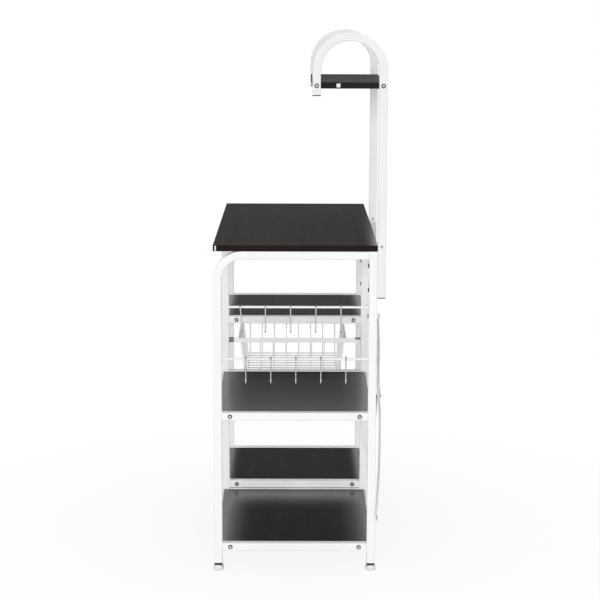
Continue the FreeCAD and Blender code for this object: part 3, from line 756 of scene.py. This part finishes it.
def add_bead(mesh: bmesh.types.BMesh, centre: Vector, length: float, radius: float) -> None:
    """Adds a weld bead that lies along X, with rippled rings and round ends.

    Args:
        mesh: The bmesh it is added to.
        centre: Middle of the bead.
        length: Its length.
        radius: Its radius.
    """
    rings, dip, end_taper = 8, 0.86, 0.55
    profile = [mesh.verts.new((-length / 2, 0, 0))]
    for index in range(rings + 1):
        swell = 1.0 if index % 2 else dip
        taper = end_taper if index in (0, rings) else 1.0
        along = -length / 2 + length * (index + 0.5) / (rings + 1)
        profile.append(mesh.verts.new((along, 0, radius * swell * taper)))
    profile.append(mesh.verts.new((length / 2, 0, 0)))
    edges = [mesh.edges.new(pair) for pair in zip(profile, profile[1:])]
    bmesh.ops.spin(mesh, geom=profile + edges, cent=(0, 0, 0), axis=(1, 0, 0),
                   angle=math.tau, steps=8, use_merge=True)
    bmesh.ops.remove_doubles(mesh, verts=linked_corners(first_valid(profile)), dist=1e-6)
    bmesh.ops.translate(mesh, vec=centre, verts=linked_corners(first_valid(profile)))


def first_valid(corners: Iterable[bmesh.types.BMVert]) -> bmesh.types.BMVert:
    """First corner that is still in its mesh."""
    return next(corner for corner in corners if corner.is_valid)


def linked_corners(start: bmesh.types.BMVert) -> list[bmesh.types.BMVert]:
    """Collects every corner joined to one corner by edges, in the order in which it meets them.

    Args:
        start: A corner of the island.

    Returns:
        All corners of the island.
    """
    found = {start: True}
    waiting = [start]
    while waiting:
        corner = waiting.pop()
        for edge in corner.link_edges:
            other = edge.other_vert(corner)
            if other not in found:
                found[other] = True
                waiting.append(other)
    return list(found)


def add_ring_bead(mesh: bmesh.types.BMesh, centre: Vector, axis: Vector, ring_radius: float,
                  bead_radius: float) -> None:
    """Adds a round bead around a rod.

    Args:
        mesh: The bmesh it is added to.
        centre: Middle of the ring.
        axis: The rod's direction.
        ring_radius: Radius of the ring's centreline.
        bead_radius: Radius of the bead's section.
    """
    made = bmesh.ops.create_circle(mesh, segments=8, radius=bead_radius)
    section = made["verts"]
    bmesh.ops.rotate(mesh, verts=section, cent=(0, 0, 0),
                     matrix=Matrix.Rotation(math.radians(90), 3, "X"))
    bmesh.ops.translate(mesh, vec=(ring_radius, 0, 0), verts=section)
    bmesh.ops.spin(mesh, geom=section + edges_at(section), cent=(0, 0, 0), axis=(0, 0, 1),
                   angle=math.tau, steps=20, use_merge=True)
    island = linked_corners(first_valid(section))
    turn = axis.to_track_quat("Z", "Y").to_matrix()
    bmesh.ops.rotate(mesh, verts=island, cent=(0, 0, 0), matrix=turn)
    bmesh.ops.translate(mesh, vec=centre, verts=island)


# ------------------------------------------------------------------ sub-assemblies


@dataclass
class CadDressing:
    """Finishes of the CAD nodes that keep their shape."""

    finishes: dict[str, Finish] = field(default_factory=lambda: {
        "frame_paint": WHITE_COAT,
        "basket_coating": BASKET_COAT,
        "fastener": DARK_ZINC,
        "grey_plastic": GREY_MOULDING,
        "black_plastic": BLACK_MOULDING,
        "foot_plastic": FOOT_MOULDING,
        "hook_steel": HOOK_PLATE,
    })
    own_finishes: dict[str, Finish] = field(default_factory=lambda: {
        **SHELF_FINISHES,
        "right_cane_post": SHADED_POST_COAT,
        "middle_cane_post": SHADED_POST_COAT,
        "runner_clips": CLIP_MOULDING,
        "shelf_bolts": BOLT_PLATE,
        "brace_bolts_and_nuts": NUT_PLATE,
        "tabletop_screws": WHITE_COAT,
    })

    def dress(self) -> None:
        """Gives every CAD node its own finish or else its slot's."""
        slots = {part["node"]: part["material_slot"] for part in frame["record"]["subparts"]}
        for name, node in frame["nodes"].items():
            finish = self.own_finishes.get(name) or self.finishes[slots[name]]
            for slot in node.material_slots:
                slot.material = finish.material()
            LOG.info("%s: %s", name, finish.name)


@dataclass
class FrameWelds:
    """Weld beads where the rails, rods and top tubes meet the legs."""

    bead_radius: float = 1.3 * MM
    bead_length: float = 15.0 * MM
    rod_bead_radius: float = 1.1 * MM
    seat: float = 0.35 * MM
    tube_side: float = 20.0 * MM

    def build(self) -> None:
        """Builds the beads as one piece."""
        mesh = bmesh.new()
        for name in sorted(frame["nodes"]):
            if name.endswith("_rail"):
                self.add_rail(mesh, name)
            elif name.endswith("_hook_rod"):
                self.add_rod(mesh, name)
            elif name.endswith("_bent_front_leg"):
                self.add_top_tube(mesh, name)
        PieceMaker("rack").finish("frame_weld_beads", mesh, WHITE_COAT)

    def add_rail(self, mesh: bmesh.types.BMesh, name: str) -> None:
        """Adds the beads above and below both ends of a rail.

        Args:
            mesh: The bmesh they are added to.
            name: The rail's node.
        """
        low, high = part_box(name)
        middle = (low.x + high.x) / 2
        for end, inward in ((low.y, self.seat), (high.y, -self.seat)):
            for height in (low.z - self.seat, high.z + self.seat):
                centre = Vector((middle, end + inward, height))
                add_bead(mesh, centre, self.bead_length, self.bead_radius)

    def add_rod(self, mesh: bmesh.types.BMesh, name: str) -> None:
        """Adds a ring bead at both ends of a hook rod.

        Args:
            mesh: The bmesh they are added to.
            name: The rod's node.
        """
        low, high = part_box(name)
        centre = (low + high) / 2
        radius = (high.x - low.x) / 2
        for end, inward in ((low.y, self.seat), (high.y, -self.seat)):
            place = Vector((centre.x, end + inward, centre.z))
            add_ring_bead(mesh, place, BACKWARDS, radius, self.rod_bead_radius)

    def add_top_tube(self, mesh: bmesh.types.BMesh, name: str) -> None:
        """Adds the bead under the joint of a top tube and its rear leg.

        Args:
            mesh: The bmesh it is added to.
            name: The bent leg's node.
        """
        low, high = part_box(name)
        centre = Vector(((low.x + high.x) / 2, high.y - self.seat,
                         high.z - self.tube_side - self.seat))
        add_bead(mesh, centre, self.bead_length, self.bead_radius)


@dataclass
class EdgeBanding:
    """Thin bands glued over the cut edges of the boards."""

    boards: tuple[str, ...] = ("tabletop", "wide_upper_shelf", "wide_lower_shelf",
                               "narrow_upper_shelf", "narrow_lower_shelf", "hutch_shelf")
    thickness: float = 0.45 * MM
    margin: float = 0.5 * MM
    ease: float = 0.15 * MM

    def build(self) -> None:
        """Builds the long bands of every board and the end bands of the tabletop."""
        for name in self.boards:
            low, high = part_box(name)
            self.add_pair(f"{name}_edge_bands", low, high, 1, ESPRESSO_EDGE)
        low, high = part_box("tabletop")
        self.add_pair("tabletop_end_bands", low, high, 0, ESPRESSO_END)

    def add_pair(self, name: str, low: Vector, high: Vector, axis: int,
                 finish: Finish) -> None:
        """Adds the bands on two opposite edges of a board as one piece.

        Args:
            name: The piece's name.
            low: Lowest corner of the board.
            high: Highest corner of the board.
            axis: 0 for its two ends and 1 for its front and back.
            finish: The bands' finish.
        """
        mesh = bmesh.new()
        for edge, way in ((low[axis], -1), (high[axis], 1)):
            first = Vector([value + self.margin for value in low])
            last = Vector([value - self.margin for value in high])
            first[axis], last[axis] = sorted((edge - way * self.ease,
                                              edge + way * self.thickness))
            add_block(mesh, first, last, self.ease)
        PieceMaker("rack").finish(name, mesh, finish)


@dataclass
class BoardMarks:
    """The bare core at a band's end on the tabletop, and a blank paper square."""

    core_inset: float = 4.0 * MM
    core_width: float = 3.5 * MM
    core_height: float = 12.5 * MM
    paper_side: float = 9.0 * MM
    paper_behind_front: float = 57.0 * MM
    skin: float = 0.12 * MM

    def build(self) -> None:
        """Builds both marks."""
        low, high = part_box("tabletop")
        middle = (low.z + high.z) / 2
        face = high.x + EdgeBanding.thickness
        start = low.y + self.core_inset
        self.add_mark("tabletop_bare_core", CORE_BOARD,
                      Vector((face - self.skin, start, middle - self.core_height / 2)),
                      Vector((face + self.skin, start + self.core_width,
                              middle + self.core_height / 2)))
        low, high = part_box("hutch_shelf")
        middle = (low.z + high.z) / 2
        start = low.y + self.paper_behind_front
        self.add_mark("hutch_shelf_blank_paper", BLANK_PAPER,
                      Vector((high.x, start, middle - self.paper_side / 2)),
                      Vector((high.x + self.skin, start + self.paper_side,
                              middle + self.paper_side / 2)))

    def add_mark(self, name: str, finish: Finish, low: Vector, high: Vector) -> None:
        """Adds one mark as a thin block with sharp edges.

        Args:
            name: The piece's name.
            finish: Its finish.
            low: Lowest corner.
            high: Highest corner.
        """
        mesh = bmesh.new()
        add_block(mesh, low, high, ease=0.0)
        PieceMaker("rack").finish(name, mesh, finish)


@dataclass
class BasketWelds:
    """Small weld points where the basket's wires meet its rim."""

    radius: float = 1.7 * MM
    pitch: float = 35.4 * MM
    cross_count: int = 8
    long_count: int = 9
    rim_radius: float = 2.5 * MM

    def build(self) -> None:
        """Builds the weld points as one piece."""
        low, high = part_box("basket_rim")
        centre = (low + high) / 2
        inset = 2 * self.rim_radius
        mesh = bmesh.new()
        for index in range(self.cross_count):
            along = centre.y + (index - (self.cross_count - 1) / 2) * self.pitch
            for side in (low.x + inset, high.x - inset):
                self.add_point(mesh, Vector((side, along, centre.z)))
        for index in range(self.long_count):
            along = centre.x + (index - (self.long_count - 1) / 2) * self.pitch
            for side in (low.y + inset, high.y - inset):
                self.add_point(mesh, Vector((along, side, centre.z)))
        PieceMaker("basket").finish("basket_weld_points", mesh, BASKET_COAT)

    def add_point(self, mesh: bmesh.types.BMesh, place: Vector) -> None:
        """Adds one weld point around a place."""
        made = bmesh.ops.create_icosphere(mesh, subdivisions=2, radius=self.radius)
        bmesh.ops.translate(mesh, vec=place, verts=made["verts"])


# ------------------------------------------------------------------ studio and camera


@dataclass(frozen=True)
class Lamp:
    """A square soft lamp: place and side in metres, and whether glossy surfaces show it."""

    name: str
    place: tuple[float, float, float]
    side: float
    watts: float
    glossy: bool = False


@dataclass
class Studio:
    """Pale floor, white surroundings and soft lamps."""

    lamps: tuple[Lamp, ...] = (
        Lamp("key_lamp", (20.0, -4.6, 3.0), side=5.4, watts=1880.0),
        Lamp("fill_lamp", (20.0, 3.6, 3.0), side=5.4, watts=1380.0),
        Lamp("top_lamp", (0.6, -0.2, 6.0), side=4.0, watts=90.0, glossy=True),
        Lamp("back_lamp", (-9.0, 2.0, 3.0), side=3.4, watts=110.0),
        Lamp("front_side_lamp", (-6.0, -9.6, 2.8), side=4.0, watts=400.0),
        Lamp("rear_side_lamp", (-6.0, 9.6, 2.8), side=4.0, watts=400.0),
    )
    floor_size: float = 30.0
    floor_tone: tuple[float, float, float] = (0.945, 0.945, 0.945)
    floor_other_tone: tuple[float, float, float] = (0.935, 0.935, 0.935)
    floor_roughness: float = 0.85
    floor_sheen: float = 0.15
    bounce_tone: tuple[float, float, float] = (0.5, 0.5, 0.5)
    fade_start: float = 0.0
    fade_end: float = 1.2
    white_share: float = 0.85
    dome_strength: float = 0.25
    aim: tuple[float, float, float] = (0.0, 0.0, 0.65)

    def build(self) -> None:
        """Builds the floor, the world and the lamps."""
        self.build_floor()
        self.build_world()
        for lamp in self.lamps:
            self.add_lamp(lamp)

    def build_floor(self) -> None:
        """Builds the floor, which fades into white far from the rack."""
        mesh = bmesh.new()
        bmesh.ops.create_grid(mesh, x_segments=2, y_segments=2, size=self.floor_size / 2)
        data = bpy.data.meshes.new("studio_floor")
        mesh.to_mesh(data)
        mesh.free()
        floor = bpy.data.objects.new("studio_floor", data)
        bpy.context.scene.collection.objects.link(floor)
        data.materials.append(self.floor_material())

    def floor_material(self) -> bpy.types.Material:
        """Builds the floor's material.

        Returns:
            A pale matt material that is plain white far away, to the eye and in reflections.
        """
        made = bpy.data.materials.new("studio_floor_paint")
        made.use_nodes = True
        sheet = NodeSheet(made.node_tree)
        shader = sheet.own("BSDF_PRINCIPLED")
        drift = ToneDrift().place(sheet, Tone=rgba(self.floor_tone),
                                  Other_Tone=rgba(self.floor_other_tone), Patches=1.5,
                                  Specks=300.0)
        path = sheet.add("ShaderNodeLightPath")
        bounced = path.outputs["Is Diffuse Ray"]
        colour = sheet.blend(bounced, drift.outputs["Color"], rgba(self.bounce_tone))
        sheet.feed(shader, "Base Color", colour)
        sheet.feed(shader, "Roughness", self.floor_roughness)
        sheet.feed(shader, "Specular IOR Level", self.floor_sheen)
        place = sheet.add("ShaderNodeTexCoord").outputs["Object"]
        away = sheet.add("ShaderNodeVectorMath", {"operation": "LENGTH"})
        sheet.feed(away, "0", place)
        fade = sheet.spread(away.outputs["Value"], self.fade_start, self.fade_end,
                            self.white_share, 1.0)
        seen = sheet.seen_or_mirrored(path)
        factor = sheet.math("MULTIPLY", fade, seen)
        glow = sheet.add("ShaderNodeEmission", Color=PLAIN_WHITE, Strength=1.0)
        mix = sheet.add("ShaderNodeMixShader")
        sheet.feed(mix, "0", factor)
        sheet.feed(mix, "1", shader.outputs[0])
        sheet.feed(mix, "2", glow.outputs[0])
        output = sheet.own("OUTPUT_MATERIAL")
        sheet.tree.links.new(mix.outputs[0], output.inputs["Surface"])
        return made

    def build_world(self) -> None:
        """Builds a world that is white to the eye and softer as a light."""
        world = bpy.data.worlds.new("studio_world")
        world.use_nodes = True
        bpy.context.scene.world = world
        sheet = NodeSheet(world.node_tree)
        back = sheet.own("BACKGROUND")
        path = sheet.add("ShaderNodeLightPath")
        seen = sheet.seen_or_mirrored(path)
        sheet.feed(back, "Color", PLAIN_WHITE)
        sheet.feed(back, "Strength", sheet.spread(seen, 0.0, 1.0, self.dome_strength, 1.0))

    def add_lamp(self, lamp: Lamp) -> None:
        """Adds one lamp, turned towards the rack.

        Args:
            lamp: The lamp.
        """
        data = bpy.data.lights.new(lamp.name, "AREA")
        data.shape = "SQUARE"
        data.size = lamp.side
        data.energy = lamp.watts
        light = bpy.data.objects.new(lamp.name, data)
        light.visible_glossy = lamp.glossy
        place = Vector(lamp.place)
        turn = (Vector(self.aim) - place).to_track_quat("-Z", "Y").to_matrix()
        light.matrix_world = Matrix.Translation(place) @ turn.to_4x4()
        bpy.context.scene.collection.objects.link(light)


@dataclass
class RackCamera:
    """Camera in front of the rack's right-hand end, a little above it."""

    place: tuple[float, float, float] = (4.6884, -0.0142, 1.4045)
    yaw_degrees: float = 0.209
    pitch_degrees: float = 9.610
    roll_degrees: float = 0.180
    lens_mm: float = 105.87
    sensor_mm: float = 36.0

    def build(self) -> None:
        """Builds the camera and makes it the scene's."""
        data = bpy.data.cameras.new("rack_camera")
        data.lens = self.lens_mm
        data.sensor_width = self.sensor_mm
        data.sensor_fit = "AUTO"
        camera = bpy.data.objects.new("rack_camera", data)
        camera.matrix_world = Matrix.Translation(self.place) @ self.turn().to_4x4()
        bpy.context.scene.collection.objects.link(camera)
        bpy.context.scene.camera = camera

    def turn(self) -> Matrix:
        """Works out the camera's turn.

        Returns:
            A 3 by 3 matrix whose columns are the camera's right, up and backward directions.
        """
        yaw = math.radians(self.yaw_degrees)
        pitch = math.radians(self.pitch_degrees)
        roll = math.radians(self.roll_degrees)
        ahead = Vector((-math.cos(yaw) * math.cos(pitch), math.sin(yaw) * math.cos(pitch),
                        -math.sin(pitch)))
        level = Vector((math.sin(yaw), math.cos(yaw), 0))
        rise = level.cross(ahead)
        right = math.cos(roll) * level + math.sin(roll) * rise
        up = -math.sin(roll) * level + math.cos(roll) * rise
        return Matrix((right, up, -ahead)).transposed()


def main() -> None:
    """Builds the looks in order."""
    logging.basicConfig(level=logging.INFO, format="%(name)s: %(message)s")
    bpy.context.scene.view_settings.view_transform = "Standard"
    CadDressing().dress()
    for part in (FrameWelds(), EdgeBanding(), BoardMarks(), BasketWelds(), Studio(),
                 RackCamera()):
        part.build()


if __name__ == "__main__":
    main()
